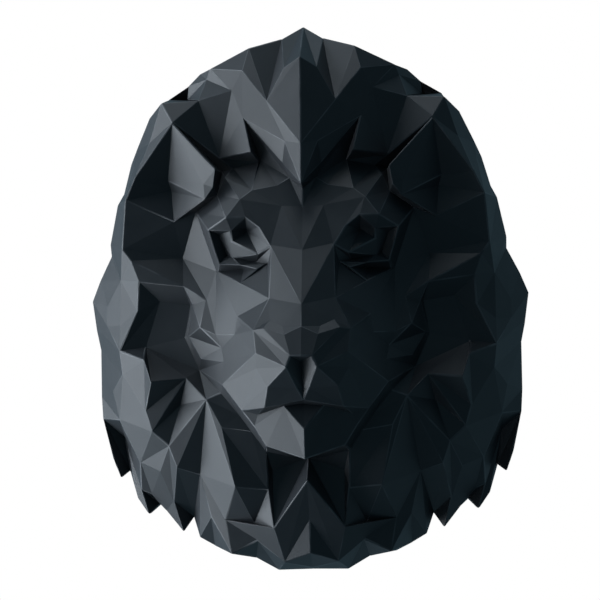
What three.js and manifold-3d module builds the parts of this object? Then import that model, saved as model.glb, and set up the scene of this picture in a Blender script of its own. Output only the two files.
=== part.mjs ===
import * as THREE from 'three';
import { mergeVertices } from 'three/addons/utils/BufferGeometryUtils.js';
import Module from 'manifold-3d';

// A faceted lion's head for a wall, cast in one piece. Millimetres, +Z up, the face looks along -Y,
// and the flat back lies on the plane y = 0 with the origin in its middle.
const headHeight = 381;
const headWidth = 310;
const headDepth = 181;
// The keyhole in the back: a screw's head goes in at its round foot and the screw's neck slides up the slot.
const screwHead = 9;
const screwNeck = 4.5;
const screwPlay = 1.5;
const keyholeRise = 14;
const keyholeLip = 4;
const keyholeDepth = 13;
const keyholeHeight = 95;
// How far the flat back stands inside the mane's outline, and how often its edge is evened out.
const backInset = 16;
const backSmoothing = 4;
// Short locks ring the mane between its outline and the back: every other corner stands out and the rest
// sink in, each at its own share of the way back.
const lockStand = 5;
const lockSink = 4;
const standShare = 0.4;
const sinkShare = 0.65;
const weldWithin = 1e-4;
const resinColour = 0x1b1c1f;
const resinRoughness = 0.5;

// Corners of the left half as [side, up, out]: from the middle plane, above the middle of the back,
// and in front of the wall. They are drawn to the size below and scaled to the head's own size.
const drawn = { height: 374, width: 304, depth: 178 };

const profile = {
  backPeak: [0, 189, 40],
  crestTop: [0, 163, 104],
  crestMid: [0, 104, 120],
  forelockTip: [0, 77, 127],
  forelockUnder: [0, 74, 108],
  browMid: [0, 62, 111],
  bridgeTop: [0, 33, 130],
  bridgeLow: [0, -3, 158],
  noseTop: [0, -17, 168],
  noseTip: [0, -36, 178],
  grooveTop: [0, -40, 168],
  cleft: [0, -57, 160],
  lipEdge: [0, -65, 158],
  mouthMid: [0, -68, 148],
  lipLow: [0, -84, 156],
  chinTip: [0, -104, 152],
  throat: [0, -106, 104],
  beardRoot: [0, -119, 128],
  beardMid: [0, -147, 107],
  beardLow: [0, -170, 98],
  beardTip: [0, -182, 70],
  hemMid: [0, -185, 50],
};

const crown = {
  capSide: [14, 179, 60],
  capLow: [11, 156, 100],
  crownRim: [36, 172, 74],
  crownFar: [63, 159, 68],
  crownFront: [40, 156, 85],
  stripeFoot: [23, 134, 100],
  crestFoot: [11, 106, 111],
  fanTop: [48, 143, 82],
  fanFoot: [34, 100, 103],
  fanHeel: [57, 97, 81],
  lockRoot: [39, 123, 91],
  lockEdge: [13, 92, 106],
  slitFoot: [29, 94, 87],
  slitEnd: [9, 82, 102],
  earGap: [71, 137, 75],
  rimBend: [66, 152, 64],
  rimUp: [71, 157, 52],
  rimDown: [80, 149, 46],
  rimHook: [81, 140, 44],
  notchIn: [82, 140, 22],
  notchOut: [95, 141, 34],
};

const earLock = {
  earPeak: [88, 122, 86],
  earTip: [58, 89, 105],
  earFold: [67, 79, 97],
  earFoot: [66, 69, 99],
  earDrop: [89, 55, 78],
  earRear: [93, 83, 72],
  earCrease: [91, 76, 70],
  earHollow: [60, 77, 101],
  templeTop: [56, 88, 72],
  templeHigh: [115, 85, 80],
  templeMid: [122, 70, 78],
  templeLow: [125, 37, 77],
  shoulderHigh: [105, 109, 74],
  shoulderLow: [117, 95, 60],
};

const brow = {
  browRootOut: [48, 90, 80],
  browRootIn: [17, 77, 104],
  browPeak: [34, 74, 106],
  browSide: [42, 68, 110],
  browDip: [14, 63, 111],
  foreheadOut: [53, 84, 88],
  foreheadEdge: [58, 72, 93],
};

const eye = {
  lidOuter: [64, 48, 106],
  lidTop: [51, 56, 115],
  lidPeak: [38, 56, 116],
  lidInner: [29, 49, 118],
  lidNose: [21, 36, 124],
  tearDuct: [24, 25, 116],
  lidLow: [31, 21, 117],
  lidUnder: [42, 24, 110],
  lidOut: [57, 25, 104],
  eyeTop: [48, 47, 111],
  eyeLow: [48, 29, 104],
  pupilOut: [48, 40, 108],
  pupilTop: [38, 47, 104],
  pupilIn: [30, 31, 116],
  whiteOut: [57, 45, 101],
  whiteLow: [52, 31, 99],
  lidSlot: [32, 26, 107],
  eyeBag: [59, 20, 90],
  eyeHollow: [41, 21, 100],
};

const muzzle = {
  bridgeSide: [22, 1, 144],
  noseRoot: [21, -13, 156],
  nosePlane: [12, -17, 163],
  noseBend: [11, -22, 169],
  noseEdge: [7, -36, 177],
  wingTop: [25, -18, 161],
  wingOut: [32, -19, 156],
  wingBack: [41, -15, 134],
  nostrilOut: [30, -34, 164],
  lipPeak: [10, -43, 177],
  lipOut: [30, -44, 158],
  lipFront: [23, -56, 162],
  cleftSide: [4, -57, 163],
  lipCorner: [26, -70, 151],
  jowlTop: [46, -22, 128],
  jowlSide: [54, -40, 120],
  jowlRear: [55, -55, 126],
  jowlLow: [42, -72, 132],
  mouthSide: [13, -69, 149],
  mouthCorner: [31, -75, 136],
  chinSide: [34, -83, 132],
  chinLow: [26, -96, 136],
};

const cheek = {
  cheekTop: [74, 61, 79],
  cheekRear: [84, 30, 72],
  cheekBack: [83, 11, 84],
  cheekEdge: [77, -2, 84],
  cheekEdgeBack: [79, -2, 78],
  cheekHook: [80, -23, 84],
  cheekHookBack: [83, -24, 80],
  cheekFold: [71, -17, 101],
  cheekCrease: [56, -31, 112],
  cheekNotch: [71, -38, 96],
  cheekTail: [73, -46, 88],
  cheekMid: [67, 1, 93],
  cheekHollow: [60, -22, 108],
  cheekPeak: [42, 12, 115],
  cheekFoot: [44, -10, 126],
};

const throatGap = {
  gapHigh: [57, -61, 112],
  gapJowl: [45, -76, 112],
  gapChin: [37, -87, 114],
  gapLow: [28, -100, 112],
  gapTuft: [24, -114, 102],
  gapInner: [14, -104, 106],
  beardSide: [24, -152, 104],
  beardFoot: [18, -177, 86],
};

const leafLock = {
  leafTop: [119, 29, 78],
  leafInner: [114, 15, 78],
  leafLow: [115, -5, 78],
  leafFoot: [128, -15, 69],
  leafHeel: [139, -15, 52],
  leafRear: [139, -2, 48],
  leafSide: [128, 16, 60],
  sideHollow: [100, 1, 74],
  sideFold: [110, -30, 76],
  sidePeak: [128, -32, 79],
};

const ruff = {
  ruffOut: [109, -38, 100],
  ruffEdge: [104, -53, 108],
  ruffPeak: [81, -51, 100],
  ruffTop: [67, -65, 110],
  ruffSlit: [86, -69, 89],
  ruffOutLow: [110, -73, 88],
  ruffOutFoot: [106, -87, 87],
  ruffMidFoot: [95, -97, 86],
  ruffMidTip: [90, -112, 82],
  ruffValley: [75, -117, 77],
  ruffInner: [57, -84, 112],
  ruffTip: [49, -124, 109],
  ruffFoot: [27, -126, 106],
  tuftOut: [58, -148, 82],
  tuftIn: [38, -150, 88],
  tuftRear: [68, -146, 76],
  tuftHem: [54, -171, 82],
  tuftLow: [36, -162, 86],
  flankHigh: [126, -48, 80],
  flankFold: [135, -60, 60],
  flankLow: [131, -80, 58],
  flankCleft: [131, -93, 28],
  flankRidge: [118, -110, 54],
  flankTail: [119, -129, 40],
  flankSlit: [112, -132, 40],
  flankInner: [103, -115, 66],
  flankFoot: [95, -137, 52],
};

const rim = {
  rim1: [96, 136, 76],
  rim2: [106, 127, 58],
  rim3: [115, 109, 48],
  rim4: [121, 96, 42],
  rim5: [127, 76, 36],
  rim6: [131, 68, 42],
  rim7: [137, 41, 38],
  rim8: [137, 33, 32],
  rim9: [147, 14, 26],
  rim10: [152, 2, 24],
  rim11: [149, -18, 28],
  rim12: [146, -32, 30],
  rim13: [146, -66, 32],
  rim14: [145, -80, 36],
  rim15: [139, -108, 32],
  tipOne: [134, -122, 30],
  gapOne: [128, -117, 24],
  rim16: [122, -136, 33],
  tipTwo: [114, -147, 38],
  gapTwo: [107, -140, 30],
  rim17: [102, -144, 38],
  tipThree: [90, -159, 40],
  gapThree: [83, -149, 36],
  hem1: [78, -162, 50],
  hem2: [68, -168, 48],
  hem3: [57, -174, 42],
  hem4: [39, -176, 58],
  hem5: [24, -185, 54],
};

const corners = { ...profile, ...crown, ...earLock, ...brow, ...eye, ...muzzle, ...cheek,
  ...throatGap, ...leafLock, ...ruff, ...rim };

// Facets of the left half, each clockwise as seen from the front and split as a fan from its first corner.
const crownFacets = [
  'backPeak crestTop capLow capSide',
  'stripeFoot crownRim capSide capLow crestTop crestMid crestFoot',
  'crownRim stripeFoot crownFront',
  'crownFar crownRim crownFront',
  'crownFar crownFront fanTop',
  'rimBend crownFar fanTop earGap',
  'rimUp crownFar rimBend',
  'rimBend earGap rimHook rimDown rimUp',
  'rimDown rimHook notchIn',
  'rimDown notchIn notchOut',
  'earGap rim1 notchOut notchIn rimHook',
  'crownFront stripeFoot lockRoot fanTop',
  'stripeFoot crestFoot lockRoot',
  'crestMid forelockTip crestFoot',
  'lockRoot crestFoot lockEdge',
  'crestFoot forelockTip lockEdge',
  'lockRoot lockEdge slitEnd slitFoot',
  'lockEdge forelockTip slitEnd',
  'fanHeel fanTop lockRoot fanFoot',
  'lockRoot slitFoot fanFoot',
  'earGap fanTop fanHeel',
  'fanHeel fanFoot slitFoot browRootOut templeTop',
];

const earFacets = [
  'earPeak earGap fanHeel templeTop earTip',
  'rim1 earGap earPeak',
  'earPeak earTip earFold earRear',
  'earRear earFold earFoot',
  'earRear earFoot earCrease',
  'earCrease earFoot earDrop',
  'earFold earTip earHollow earFoot',
  'earTip templeTop earHollow',
  'earPeak earRear templeHigh',
  'templeHigh earRear earCrease templeMid',
  'templeMid earCrease earDrop templeLow',
  'templeLow earDrop cheekRear leafTop',
  'earDrop earFoot cheekTop cheekRear',
  'earFoot earHollow foreheadEdge cheekTop',
  'earPeak templeHigh shoulderHigh',
  'shoulderHigh templeHigh shoulderLow',
  'shoulderLow templeHigh templeMid rim5',
  'rim1 earPeak shoulderHigh rim2',
  'rim2 shoulderHigh rim3',
  'rim3 shoulderHigh shoulderLow rim4',
  'rim4 shoulderLow rim5',
  'rim5 templeMid rim6',
  'rim6 templeMid templeLow rim7',
];

const browFacets = [
  'cheekTop foreheadEdge lidTop lidOuter',
  'templeTop browRootOut foreheadOut',
  'templeTop foreheadOut foreheadEdge earHollow',
  'foreheadOut browRootOut browPeak',
  'foreheadOut browPeak browSide foreheadEdge',
  'foreheadEdge browSide lidTop',
  'browRootOut slitFoot browPeak',
  'slitFoot slitEnd browRootIn',
  'slitFoot browRootIn browPeak',
  'slitEnd forelockTip forelockUnder',
  'slitEnd forelockUnder browMid browRootIn',
  'browRootIn browMid browDip',
  'browPeak browRootIn browDip browSide',
  'browSide browDip lidInner lidPeak',
  'browSide lidPeak lidTop',
  'browDip browMid bridgeTop lidNose lidInner',
];

const eyeFacets = [
  'lidOuter lidTop eyeTop whiteOut',
  'eyeTop lidTop lidPeak pupilTop pupilOut',
  'lidPeak lidInner pupilTop',
  'pupilTop lidInner lidNose pupilIn',
  'pupilOut pupilTop pupilIn',
  'pupilOut pupilIn eyeLow',
  'whiteOut eyeTop pupilOut eyeLow whiteLow',
  'lidOuter whiteOut whiteLow',
  'lidOut lidOuter whiteLow eyeLow lidUnder',
  'eyeLow pupilIn lidSlot',
  'eyeLow lidSlot lidUnder',
  'lidSlot pupilIn lidNose tearDuct',
  'lidUnder lidSlot tearDuct lidLow',
  'lidOut lidUnder eyeHollow eyeBag',
  'lidLow cheekPeak eyeHollow lidUnder',
  'eyeBag eyeHollow cheekPeak',
];

const noseFacets = [
  'lidNose bridgeTop bridgeLow bridgeSide',
  'lidNose bridgeSide tearDuct',
  'tearDuct bridgeSide cheekPeak lidLow',
  'bridgeSide cheekFoot cheekPeak',
  'bridgeSide noseRoot wingOut cheekFoot',
  'wingOut wingBack cheekFoot',
  'bridgeLow noseTop nosePlane noseRoot bridgeSide',
  'nosePlane noseTop noseBend wingTop noseRoot',
  'noseRoot wingTop wingOut',
  'noseTop noseTip noseEdge noseBend',
  'wingTop noseBend noseEdge wingOut',
  'wingOut noseEdge lipPeak nostrilOut',
  'noseEdge noseTip grooveTop lipPeak',
];

const mouthFacets = [
  'nostrilOut lipPeak lipOut',
  'lipOut lipPeak lipFront',
  'lipPeak grooveTop cleft cleftSide',
  'cleftSide cleft lipEdge lipCorner lipFront lipPeak',
  'mouthSide mouthCorner lipCorner lipEdge mouthMid',
  'mouthSide mouthMid lipLow',
  'mouthSide lipLow chinTip chinLow chinSide mouthCorner',
  'wingOut nostrilOut jowlTop wingBack',
  'nostrilOut jowlRear jowlSide jowlTop',
  'nostrilOut lipOut jowlRear',
  'lipOut lipFront jowlLow jowlRear',
  'lipFront lipCorner jowlLow',
  'jowlLow lipCorner mouthCorner chinSide',
];

const cheekFacets = [
  'eyeBag cheekPeak cheekFoot',
  'cheekFoot wingBack jowlTop cheekHollow',
  'eyeBag cheekFoot cheekHollow cheekMid',
  'jowlTop jowlSide cheekCrease cheekHollow',
  'cheekHollow cheekCrease cheekFold cheekMid',
  'cheekEdge cheekMid cheekFold cheekHook',
  'cheekHook cheekFold cheekCrease',
  'cheekHook cheekCrease cheekNotch',
  'cheekNotch cheekCrease jowlSide',
  'cheekTop lidOuter lidOut eyeBag cheekRear',
  'cheekRear eyeBag cheekMid cheekBack',
  'cheekBack cheekMid cheekEdge',
  'cheekBack cheekEdge cheekEdgeBack',
  'cheekEdge cheekHook cheekHookBack cheekEdgeBack',
  'cheekHook cheekNotch cheekTail cheekHookBack',
  'cheekTail cheekNotch jowlSide jowlRear gapHigh ruffTop',
];

const beardFacets = [
  'jowlRear jowlLow gapJowl gapHigh',
  'jowlLow chinSide gapChin gapJowl',
  'chinSide chinLow gapLow gapChin',
  'chinLow chinTip throat gapInner gapLow',
  'gapLow gapInner gapTuft',
  'gapTuft gapInner throat beardSide ruffFoot',
  'throat beardRoot beardSide',
  'beardRoot beardFoot beardSide',
  'beardRoot beardMid beardFoot',
  'beardFoot beardMid beardLow beardTip',
  'beardFoot beardTip hemMid hem5',
];

const flankFacets = [
  'rim7 templeLow leafSide rim8',
  'templeLow leafTop leafSide',
  'rim8 leafSide rim9',
  'rim9 leafSide leafRear rim10',
  'rim10 leafRear leafHeel rim11',
  'rim11 leafHeel sidePeak rim12',
  'leafSide leafTop leafInner leafLow leafFoot',
  'leafRear leafSide leafFoot leafHeel',
  'leafFoot leafLow sidePeak',
  'leafHeel leafFoot sidePeak',
  'leafTop cheekRear cheekBack leafInner',
  'leafInner cheekBack cheekEdgeBack',
  'leafInner cheekEdgeBack sideHollow leafLow',
  'leafLow sideHollow sidePeak',
  'sideHollow sideFold sidePeak',
  'sideHollow cheekEdgeBack cheekHookBack sideFold',
  'sideFold cheekHookBack cheekTail ruffPeak ruffEdge',
  'sideFold ruffEdge ruffOut',
  'sidePeak sideFold ruffOut',
  'rim12 sidePeak flankHigh flankFold rim13',
  'sidePeak ruffOut flankHigh',
  'flankHigh ruffOut ruffOutLow',
  'ruffOut ruffEdge ruffOutLow',
  'flankHigh ruffOutLow flankLow flankFold',
  'rim13 flankFold flankLow rim14',
  'rim14 flankLow flankCleft',
  'flankLow ruffOutLow ruffOutFoot flankRidge flankCleft',
  'rim14 flankCleft gapOne tipOne rim15',
  'flankCleft flankRidge flankTail tipTwo rim16 gapOne',
  'flankTail flankRidge flankSlit gapTwo tipTwo',
  'flankRidge ruffOutFoot ruffMidFoot flankInner flankSlit',
  'flankSlit flankInner flankFoot rim17 gapTwo',
  'ruffMidFoot ruffMidTip flankFoot flankInner',
  'rim17 flankFoot tipThree',
  'ruffMidTip gapThree flankFoot',
  'flankFoot gapThree tipThree',
];

const ruffFacets = [
  'cheekTail ruffTop ruffPeak',
  'ruffEdge ruffPeak ruffOutLow',
  'ruffOutLow ruffPeak ruffOutFoot',
  'ruffOutFoot ruffPeak ruffSlit ruffMidFoot',
  'ruffTop ruffMidFoot ruffSlit ruffPeak',
  'ruffMidFoot ruffTop ruffMidTip',
  'ruffMidTip ruffTop ruffValley gapThree',
  'ruffTop ruffInner ruffTip ruffValley',
  'ruffValley ruffTip tuftOut tuftRear',
  'ruffValley tuftRear hem1 gapThree',
  'tuftRear hem2 hem1',
  'tuftRear tuftOut tuftHem hem2',
  'hem2 tuftHem hem3',
  'ruffInner ruffFoot ruffTip',
  'ruffTop gapHigh gapJowl ruffInner',
  'ruffInner gapJowl gapChin ruffFoot',
  'gapChin gapLow ruffFoot',
  'gapLow gapTuft ruffFoot',
  'ruffTip ruffFoot tuftIn tuftOut',
  'ruffFoot beardSide tuftIn',
  'tuftOut tuftIn beardSide tuftLow',
  'beardSide beardFoot tuftLow',
  'tuftOut tuftLow tuftHem',
  'tuftLow beardFoot hem5 hem4 tuftHem',
  'tuftHem hem4 hem3',
];

const facets = [crownFacets, earFacets, browFacets, eyeFacets, noseFacets, mouthFacets, cheekFacets,
  beardFacets, flankFacets, ruffFacets].flat();

function placeCorner([side, up, out], hand) {
  return new THREE.Vector3(
    hand * side * headWidth / drawn.width,
    -out * headDepth / drawn.depth,
    up * headHeight / drawn.height,
  );
}

// Both halves of the front, as triangles between numbered points.
function buildFront() {
  const points = [];
  const numberOf = new Map();
  const triangles = [];
  const pointNumber = (name, hand) => {
    const key = corners[name][0] === 0 ? name : `${name}:${hand}`;
    if (!numberOf.has(key)) {
      numberOf.set(key, points.length);
      points.push(placeCorner(corners[name], hand));
    }
    return numberOf.get(key);
  };
  for (const hand of [-1, 1]) {
    for (const facet of facets) {
      const [first, ...others] = facet.split(' ').map((name) => pointNumber(name, hand));
      if (hand < 0) others.reverse();
      for (let i = 1; i < others.length; i += 1) {
        triangles.push([first, others[i - 1], others[i]]);
      }
    }
  }
  return { points, triangles };
}

// The edges that belong to one triangle only, joined end to end: the mane's outline.
function findOutline(triangles) {
  const open = new Map();
  const seen = new Set();
  for (const [a, b, c] of triangles) {
    for (const [from, to] of [[a, b], [b, c], [c, a]]) seen.add(`${from},${to}`);
  }
  for (const edge of seen) {
    const [from, to] = edge.split(',').map(Number);
    if (!seen.has(`${to},${from}`)) open.set(from, to);
  }
  const start = open.keys().next().value;
  const loop = [start];
  for (let next = open.get(start); next !== start; next = open.get(next)) loop.push(next);
  return loop;
}

// The edge of the flat back: the outline evened out between its neighbours and drawn inwards.
function backEdge(outline, points) {
  let edge = outline.map((n) => new THREE.Vector2(points[n].x, points[n].z));
  for (let pass = 0; pass < backSmoothing; pass += 1) {
    edge = edge.map((here, i) => {
      const before = edge.at(i - 1);
      const after = edge[(i + 1) % edge.length];
      return before.clone().add(after).add(here).divideScalar(3);
    });
  }
  return edge.map((here) => here.setLength(here.length() - backInset));
}

// The ring of short locks: a corner for each corner of the outline, on its way to the back's edge.
function lockRing(outline, edge, points) {
  return outline.map((n, i) => {
    const stands = i % 2 === 0;
    const back = new THREE.Vector3(edge[i].x, 0, edge[i].y);
    const corner = points[n].clone().lerp(back, stands ? standShare : sinkShare);
    const outwards = new THREE.Vector3(corner.x, 0, corner.z).normalize();
    return corner.addScaledVector(outwards, stands ? lockStand : -lockSink);
  });
}

// Two triangles between four corners, split along one diagonal or the other in turn.
function splitBand(a, b, c, d, turn) {
  return turn % 2 === 0 ? [[a, b, c], [a, c, d]] : [[a, b, d], [b, c, d]];
}

function buildCast() {
  const { points, triangles } = buildFront();
  const outline = findOutline(triangles);
  const edge = backEdge(outline, points);
  const firstLock = points.length;
  points.push(...lockRing(outline, edge, points));
  const firstBack = points.length;
  for (const { x, y } of edge) points.push(new THREE.Vector3(x, 0, y));
  outline.forEach((front, i) => {
    const next = (i + 1) % outline.length;
    const [lock, nextLock] = [firstLock + i, firstLock + next];
    triangles.push(...splitBand(outline[next], front, lock, nextLock, i));
    triangles.push(...splitBand(nextLock, lock, firstBack + i, firstBack + next, next));
  });
  for (const [a, b, c] of THREE.ShapeUtils.triangulateShape(edge, [])) {
    const flat = [a, b, c].map((n) => firstBack + n);
    const [p, q, r] = [edge[a], edge[b], edge[c]];
    const turn = q.clone().sub(p).cross(r.clone().sub(p));
    triangles.push(turn > 0 ? flat.reverse() : flat);
  }
  const geometry = new THREE.BufferGeometry().setFromPoints(points);
  geometry.setIndex(triangles.flat());
  return geometry;
}

// A slot with round ends, rising from the keyhole's foot, between two depths behind the back's plane.
function buildSlot(width, rise, from, to) {
  const radius = width / 2;
  const outline = new THREE.Shape();
  outline.absarc(0, 0, radius, Math.PI, 2 * Math.PI, false);
  outline.absarc(0, rise, radius, 0, Math.PI, false);
  const slot = new THREE.ExtrudeGeometry(outline, { depth: to - from, bevelEnabled: false, curveSegments: 12 });
  return slot.rotateX(Math.PI / 2).translate(0, -from, keyholeHeight);
}

const wasm = await Module();
wasm.setup();

function toSolid(geometry) {
  const bare = new THREE.BufferGeometry();
  bare.setAttribute('position', geometry.getAttribute('position'));
  bare.setIndex(geometry.getIndex());
  const merged = mergeVertices(bare, weldWithin);
  return new wasm.Manifold(new wasm.Mesh({
    numProp: 3,
    vertProperties: new Float32Array(merged.getAttribute('position').array),
    triVerts: new Uint32Array(merged.getIndex().array),
  }));
}

function fromSolid(solid) {
  const { vertProperties, triVerts } = solid.getMesh();
  const geometry = new THREE.BufferGeometry();
  geometry.setAttribute('position', new THREE.BufferAttribute(vertProperties, 3));
  geometry.setIndex(new THREE.BufferAttribute(triVerts, 1));
  geometry.computeVertexNormals();
  return geometry;
}

function buildHead() {
  const headRoom = screwHead + 2 * screwPlay;
  const neckRoom = screwNeck + screwPlay;
  const overrun = 1;
  const foot = buildSlot(headRoom, 0, -overrun, keyholeDepth);
  const slot = buildSlot(neckRoom, keyholeRise, -overrun, keyholeDepth);
  const pocket = buildSlot(headRoom, keyholeRise, keyholeLip, keyholeDepth);
  const keyhole = toSolid(foot).add(toSolid(slot)).add(toSolid(pocket));
  return fromSolid(toSolid(buildCast()).subtract(keyhole));
}

const resin = new THREE.MeshStandardMaterial({
  color: resinColour,
  roughness: resinRoughness,
  metalness: 0,
  flatShading: true,
});
const head = new THREE.Mesh(buildHead(), resin);
head.name = 'lion_head';

const part = new THREE.Group();
part.add(head);

export default part;
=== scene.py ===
# A faceted lion's head for a wall, cast in one piece in satin charcoal resin.
import math

import bmesh
import bpy
from mathutils import Euler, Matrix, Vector


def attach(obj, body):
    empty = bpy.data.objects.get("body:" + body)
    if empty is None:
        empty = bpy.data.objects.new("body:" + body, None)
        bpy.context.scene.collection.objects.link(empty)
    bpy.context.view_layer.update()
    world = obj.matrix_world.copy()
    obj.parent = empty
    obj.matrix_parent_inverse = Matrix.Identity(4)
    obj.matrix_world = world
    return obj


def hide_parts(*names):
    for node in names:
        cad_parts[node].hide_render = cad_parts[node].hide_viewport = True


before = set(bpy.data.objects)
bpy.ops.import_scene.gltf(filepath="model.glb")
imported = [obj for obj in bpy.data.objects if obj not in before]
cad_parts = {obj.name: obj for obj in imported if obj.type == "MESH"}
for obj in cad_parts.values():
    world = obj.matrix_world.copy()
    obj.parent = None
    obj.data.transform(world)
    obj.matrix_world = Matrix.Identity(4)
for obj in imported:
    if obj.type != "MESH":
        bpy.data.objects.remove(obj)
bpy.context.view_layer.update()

mm = 0.001
print("frame loaded")


# small tools
class Wire:
    # one output socket; sums and products with it add Math nodes
    def __init__(self, nodes, socket):
        self.nodes = nodes
        self.socket = socket

    def math(self, operation, first, second):
        return self.nodes.add("ShaderNodeMath", {"operation": operation}, {0: first, 1: second})

    def __add__(self, other):
        return self.math("ADD", self, other)

    def __sub__(self, other):
        return self.math("SUBTRACT", self, other)

    def __rsub__(self, other):
        return self.math("SUBTRACT", other, self)

    def __mul__(self, other):
        return self.math("MULTIPLY", self, other)

    __radd__ = __add__
    __rmul__ = __mul__


class Nodes:
    # the nodes of one material or world
    def __init__(self, owner):
        owner.use_nodes = True
        self.tree = owner.node_tree
        self.tree.nodes.clear()

    # adds a node: its settings first, then the values or links of its sockets
    def add(self, kind, settings=None, sockets=None, out=0):
        node = self.tree.nodes.new(kind)
        for name, value in (settings or {}).items():
            setattr(node, name, value)
        for name, value in (sockets or {}).items():
            if isinstance(value, Wire):
                self.tree.links.new(value.socket, node.inputs[name])
            else:
                node.inputs[name].default_value = value
        return Wire(self, node.outputs[out]) if node.outputs else node

    # mixes two colours; a Mix node has them on its sockets 6 and 7, and the result on output 2
    def blend(self, factor, first, second):
        sockets = {"Factor": factor, 6: first, 7: second}
        return self.add("ShaderNodeMix", {"data_type": "RGBA"}, sockets, out=2)


def aimAt(thing, target, roll=0.0):
    direction = Vector(target) - thing.location
    facing = direction.to_track_quat("-Z", "Y").to_matrix()
    thing.rotation_euler = (facing @ Euler((0, 0, roll)).to_matrix()).to_euler()


def putInScene(name, data):
    thing = bpy.data.objects.new(name, data)
    bpy.context.scene.collection.objects.link(thing)
    return thing


# the head: the CAD's facets, with their outer edges rounded off a little, as a casting's are
head = {
    "weldWithin": 0.02 * mm,
    "flatBelow": math.radians(0.4),    # faces this close to one plane become one face
    "roundAbove": math.radians(16),    # outer edges sharper than this are rounded
    "roundMost": math.radians(70),     # and from here on by the full width
    "leastRound": 0.2,                 # the share of the width on the shallowest of them
    "edgeWidth": 1.0 * mm,
    "edgeSteps": 2,
}


def makeFacets(source):
    facets = bmesh.new()
    facets.from_mesh(source.data)
    bmesh.ops.remove_doubles(facets, verts=facets.verts, dist=head["weldWithin"])
    bmesh.ops.dissolve_limit(facets, angle_limit=head["flatBelow"], verts=facets.verts, edges=facets.edges)
    facets.verts.index_update()
    mesh = bpy.data.meshes.new("facets")
    mesh.from_pydata([v.co for v in facets.verts], [], [[v.index for v in f.verts] for f in facets.faces])
    facets.free()
    return mesh


# an outer edge is rounded the more the sharper it is; shallow and inner edges stay crisp
def weighEdges(mesh):
    facets = bmesh.new()
    facets.from_mesh(mesh)
    weight = facets.edges.layers.float.new("bevel_weight_edge")
    span = head["roundMost"] - head["roundAbove"]
    for edge in facets.edges:
        sharpness = (edge.calc_face_angle(0) - head["roundAbove"]) / span
        edge.smooth = sharpness > 0 and edge.is_convex
        if edge.smooth:
            edge[weight] = head["leastRound"] + (1 - head["leastRound"]) * min(sharpness, 1)
    facets.to_mesh(mesh)
    facets.free()


def makeHead(source):
    mesh = makeFacets(source)
    mesh.shade_smooth()
    weighEdges(mesh)
    mesh.materials.append(None)
    mesh.materials.append(None)        # the second slot only marks the rounded edges
    lion = putInScene("lion_head_cast", mesh)
    rounding = lion.modifiers.new("rounding", "BEVEL")
    rounding.limit_method = "WEIGHT"
    rounding.width = head["edgeWidth"]
    rounding.segments = head["edgeSteps"]
    rounding.use_clamp_overlap = False
    rounding.harden_normals = True
    rounding.material = 1
    graph = bpy.context.evaluated_depsgraph_get()
    mesh = bpy.data.meshes.new_from_object(lion.evaluated_get(graph),
                                           preserve_all_data_layers=True, depsgraph=graph)
    lion.modifiers.clear()
    lion.data = mesh
    # the rounded edge strips, which the resin paints paler: partly edge wear, partly a painted highlight
    # along the ridges
    wornHighlitEdge = mesh.attributes.new("wornHighlitEdge", "FLOAT", "FACE")
    for face in mesh.polygons:
        wornHighlitEdge.data[face.index].value = face.material_index
        face.material_index = 0
    return lion


lion = makeHead(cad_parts["lion_head"])
print("head made,", len(lion.data.polygons), "faces")


# its finish: satin charcoal resin with a faint grain; its rounded edges are painted paler, partly as wear
# from hands and dusters and partly as a painted highlight along the ridges
resin = {
    "colour": (0.0165, 0.0195, 0.0235),
    "paler": (0.0245, 0.0280, 0.0325),
    # the rounded edges' paler colour: partly wear, partly a painted highlight on the ridges
    "wornHighlitEdgeColour": (0.0780, 0.0820, 0.0890),
    "roughness": 0.44,
    "roughnessSpread": 0.12,
    "edgeGloss": 0.08,                 # how much smoother a worn edge is
    "mottle": (9 * mm, 4, 0.6),        # the size, detail and roughness of a noise, as in the next three
    "grain": (0.9 * mm, 2, 0.5),
    "waves": (26 * mm, 1, 0.5),
    "patches": (22 * mm, 3, 0.5),      # where the pale edges, partly wear and partly painted highlight, are strongest
    "patchEdge": (0.4, 0.6),           # the noise at which the pale edges start, and are full
    "edgeWearAndHighlight": (0.15, 0.95),          # the share of the edge colour outside the patches and in them
    "grainHeight": 0.02 * mm,
    "waveHeight": 0.35 * mm,
}


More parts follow.
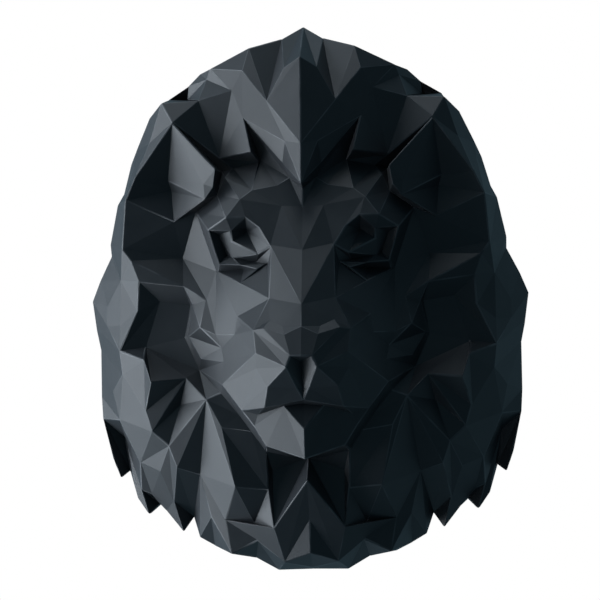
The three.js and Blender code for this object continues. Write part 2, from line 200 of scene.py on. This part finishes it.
def makeResin():
    material = bpy.data.materials.new("satin_charcoal_resin")
    nodes = Nodes(material)
    place = nodes.add("ShaderNodeTexCoord", out="Object")

    def noise(name):
        size, detail, roughness = resin[name]
        return nodes.add("ShaderNodeTexNoise", None,
                         {"Vector": place, "Scale": 1 / size, "Detail": detail, "Roughness": roughness})

    def bump(height, distance, sockets=None):
        return nodes.add("ShaderNodeBump", None,
                         {"Strength": 1, "Distance": distance, "Height": height, **(sockets or {})})

    mottle = noise("mottle")
    grain = noise("grain")
    wornHighlitEdge = nodes.add("ShaderNodeAttribute", {"attribute_name": "wornHighlitEdge"}, out="Fac")
    patches = nodes.add("ShaderNodeMapRange", None,
                        {"Value": noise("patches"),
                         "From Min": resin["patchEdge"][0], "From Max": resin["patchEdge"][1],
                         "To Min": resin["edgeWearAndHighlight"][0], "To Max": resin["edgeWearAndHighlight"][1]})
    # paints the rounded edges paler, in patches: partly wear, partly a painted highlight on the ridges
    wearAndHighlight = wornHighlitEdge * patches
    body = nodes.blend(mottle, (*resin["colour"], 1), (*resin["paler"], 1))
    colour = nodes.blend(wearAndHighlight, body, (*resin["wornHighlitEdgeColour"], 1))
    spread = (mottle + grain - 1) * (resin["roughnessSpread"] / 2)
    roughness = resin["roughness"] + spread - wearAndHighlight * resin["edgeGloss"]
    waves = bump(noise("waves"), resin["waveHeight"])
    surface = bump(grain, resin["grainHeight"], {"Normal": waves})
    shader = nodes.add("ShaderNodeBsdfPrincipled", None,
                       {"Base Color": colour, "Roughness": roughness, "Normal": surface})
    nodes.add("ShaderNodeOutputMaterial", None, {"Surface": shader})
    return material


lion.data.materials.clear()
lion.data.materials.append(makeResin())
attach(lion, "root")
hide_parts("lion_head")
print("resin made")


# studio: a tent that lights the head from all round, most from behind, and soft lamps mostly at the left
studio = {
    "floorHeight": -2.0,
    "floorSize": 10,
    "floorColour": (0.80, 0.80, 0.79),
    "floorRoughness": 0.9,
    "floorGlow": 0.95,                 # keeps the floor pale in the dim tent
    "tentBack": 0.18,
    "tentFront": 0.12,
    "tentTurn": 0.5,                   # how far round to either side the front shades into the back
    "tentColour": (0.46, 0.80, 1.0),
    "backdrop": (1, 1, 1),             # what the camera sees behind the head
    "lampColour": (0.84, 0.92, 1.0),
}

# each lamp: where it stands, its width and height, its power, and whether it throws shadows
lamps = {
    "key": ((-1.93, -0.52, 0.0), (1.1, 1.1), 24.5, True),
    "high": ((-1.6, -0.2, 1.2), (1.1, 0.8), 14.0, True),
    "low": ((-1.64, -0.14, -1.15), (0.8, 1.1), 14.0, True),
    "edge": ((-1.88, 0.5, -0.1), (0.8, 2.2), 21.0, False),
    "top": ((-0.2, 0.0, 1.6), (1.2, 0.8), 6.0, True),
}


def makeLamp(name):
    place, size, power, shadows = lamps[name]
    data = bpy.data.lights.new(name, "AREA")
    data.shape = "RECTANGLE"
    data.size, data.size_y = size
    data.energy = power
    data.color = studio["lampColour"]
    data.use_shadow = shadows
    lamp = putInScene(name, data)
    lamp.location = place
    aimAt(lamp, (0, 0, 0))


def makeTent():
    world = bpy.data.worlds.new("tent")
    bpy.context.scene.world = world
    nodes = Nodes(world)
    direction = nodes.add("ShaderNodeTexCoord", out="Generated")
    depth = nodes.add("ShaderNodeSeparateXYZ", None, {"Vector": direction}, out="Y")
    wall = nodes.add("ShaderNodeMapRange", {"interpolation_type": "SMOOTHSTEP"},
                     {"Value": depth, "From Min": -studio["tentTurn"], "From Max": studio["tentTurn"],
                      "To Min": studio["tentFront"], "To Max": studio["tentBack"]})
    seen = nodes.add("ShaderNodeLightPath", out="Is Camera Ray")
    colour = nodes.blend(seen, (*studio["tentColour"], 1), (*studio["backdrop"], 1))
    strength = seen + wall * (1 - seen)
    glow = nodes.add("ShaderNodeBackground", None, {"Color": colour, "Strength": strength})
    nodes.add("ShaderNodeOutputWorld", None, {"Surface": glow})


def makeFloor():
    half = studio["floorSize"] / 2
    corners = [(-half, -half), (half, -half), (half, half), (-half, half)]
    mesh = bpy.data.meshes.new("floor")
    mesh.from_pydata([(x, y, studio["floorHeight"]) for x, y in corners], [], [(0, 1, 2, 3)])
    floor = putInScene("floor", mesh)
    material = bpy.data.materials.new("pale_floor")
    nodes = Nodes(material)
    colour = (*studio["floorColour"], 1)
    shader = nodes.add("ShaderNodeBsdfPrincipled", None,
                       {"Base Color": colour, "Roughness": studio["floorRoughness"],
                        "Emission Color": colour, "Emission Strength": studio["floorGlow"]})
    nodes.add("ShaderNodeOutputMaterial", None, {"Surface": shader})
    mesh.materials.append(material)
    floor.visible_diffuse = False      # its glow stays off the head
    floor.visible_glossy = False


makeTent()
makeFloor()
for name in lamps:
    makeLamp(name)
bpy.context.scene.view_settings.view_transform = "Standard"
print("studio made")


# camera, at the photograph's angle
view = {
    "azimuth": math.radians(2.65),     # from the front towards the head's left cheek, the viewer's right
    "roll": math.radians(-1.2),
    "distance": 2.022,
    "aimDepth": 15.3 * mm,             # in front of the wall
    "aimSide": 7.5 * mm,               # the head stands this far right of the picture's middle
    "lens": 170.1,
    "filmWidth": 36,
}


def makeCamera():
    towards = Vector((math.sin(view["azimuth"]), -math.cos(view["azimuth"]), 0))
    sideways = Vector((math.cos(view["azimuth"]), math.sin(view["azimuth"]), 0))
    target = Vector((0, -view["aimDepth"], 0)) - sideways * view["aimSide"]
    lens = bpy.data.cameras.new("camera")
    lens.lens = view["lens"]
    lens.sensor_width = view["filmWidth"]
    camera = putInScene("camera", lens)
    camera.location = target + towards * view["distance"]
    aimAt(camera, target, view["roll"])
    bpy.context.scene.camera = camera


makeCamera()
print("camera set")

bpy.context.view_layer.update()
